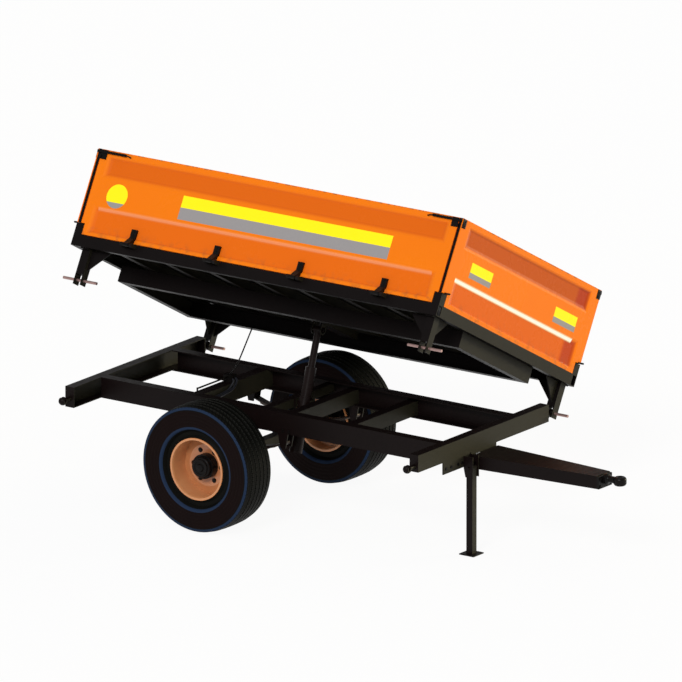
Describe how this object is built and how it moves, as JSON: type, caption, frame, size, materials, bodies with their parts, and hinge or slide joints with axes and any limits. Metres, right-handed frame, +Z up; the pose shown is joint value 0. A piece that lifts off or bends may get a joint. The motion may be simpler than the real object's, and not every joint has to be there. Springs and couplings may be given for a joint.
{
  "type": "single-axle three-way tipping trailer",
  "caption": "Farm trailer with an orange drop-side box tipped to the left on corner pins by a telescopic ram, on a black channel chassis with drawbar and parking stand.",
  "frame": {"origin": "centre of the tow eye's bore", "axes": "+X forward along the drawbar, +Y to the trailer's left, +Z up along the bore"},
  "size_m": [4.259, 2.2359, 2.3798],
  "materials": {
    "tyre_rubber": "matt",
    "rim_paint": "satin",
    "orange_paint": "gloss",
    "black_paint": "gloss",
    "floor_paint": "satin",
    "zinc_steel": "plated",
    "ram_steel": "gloss"
  },
  "bodies": {
    "chassis": {"rail_right": "black_paint", "rail_left": "black_paint", "rear_crossbeam": "black_paint", "front_crossbeam": "black_paint", "crossmembers": "black_paint", "drawbar_right": "black_paint", "drawbar_left": "black_paint", "drawbar_plate": "black_paint", "tow_eye": "black_paint", "stand_bracket": "black_paint", "axle_beam": "black_paint", "leaf_springs": "black_paint", "control_valve": "black_paint", "pin_seats": "black_paint"},
    "wheel_right": {"tyre_right": "tyre_rubber", "rim_right": "rim_paint", "hub_right": "black_paint"},
    "wheel_left": {"tyre_left": "tyre_rubber", "rim_left": "rim_paint", "hub_left": "black_paint"},
    "stand": {"parking_stand": "black_paint"},
    "box": {"frame_right": "black_paint", "frame_left": "black_paint", "frame_front": "black_paint", "frame_rear": "black_paint", "bed_floor": "floor_paint", "floor_members": "black_paint", "subframe_beams": "black_paint", "subframe_ends": "black_paint", "ram_bridge": "black_paint", "corner_legs": "black_paint", "locking_pins": "zinc_steel", "headboard": "orange_paint", "corner_posts": "black_paint"},
    "right_side": {"side_right": "orange_paint", "straps_right": "black_paint", "latches_right": "black_paint"},
    "left_side": {"side_left": "orange_paint", "straps_left": "black_paint", "latches_left": "black_paint"},
    "tail": {"tailgate": "orange_paint", "straps_rear": "black_paint"},
    "barrel": {"ram_barrel": "black_paint"},
    "stage": {"ram_stage": "ram_steel"},
    "rod": {"ram_rod": "ram_steel"}
  },
  "joints": [
    {"name": "wheel_right_spin", "type": "hinge", "parent": "chassis", "child": "wheel_right", "pos_m": [-2.91, -0.735, -0.204], "axis": [0, 1, 0], "continuous": true},
    {"name": "wheel_left_spin", "type": "hinge", "parent": "chassis", "child": "wheel_left", "pos_m": [-2.91, 0.735, -0.204], "axis": [0, 1, 0], "continuous": true},
    {"name": "box_tip", "type": "hinge", "parent": "chassis", "child": "box", "pos_m": [-2.61, 0.845, 0.087], "axis": [-1, 0, 0], "range_deg": [-28.5, 16.5]},
    {"name": "stand_swing", "type": "hinge", "parent": "chassis", "child": "stand", "pos_m": [-1.088, -0.199, -0.038], "axis": [0, -1, 0], "range_deg": [0, 90]},
    {"name": "right_side_drop", "type": "hinge", "parent": "box", "child": "right_side", "pos_m": [-2.621, -0.62428, 1.20564], "axis": [1, 0, 0], "range_deg": [0, 150]},
    {"name": "left_side_drop", "type": "hinge", "parent": "box", "child": "left_side", "pos_m": [-2.621, 1.0982, 0.27041], "axis": [-1, 0, 0], "range_deg": [0, 150]},
    {"name": "tailgate_drop", "type": "hinge", "parent": "box", "child": "tail", "pos_m": [-4.2, 0.23696, 0.73803], "axis": [0, -0.8788, 0.4772], "range_deg": [0, 150]},
    {"name": "ram_tilt", "type": "hinge", "parent": "chassis", "child": "barrel", "pos_m": [-2.62, 0, 0.11], "axis": [-1, 0, 0], "range_deg": [-15.96, 9.66]},
    {"name": "ram_stage_slide", "type": "slide", "parent": "barrel", "child": "stage", "axis": [0, 0.3123, 0.95], "range_m": [-0.1996, 0.1168]},
    {"name": "ram_rod_slide", "type": "slide", "parent": "stage", "child": "rod", "axis": [0, 0.3123, 0.95], "range_m": [-0.2139, 0.1251]}
  ],
  "couplings": [
    {"joint": "ram_tilt", "follows": "box_tip", "ratio": 0.525},
    {"joint": "ram_stage_slide", "follows": "box_tip", "m_per_rad": 0.39534},
    {"joint": "ram_rod_slide", "follows": "box_tip", "m_per_rad": 0.42399}
  ]
}
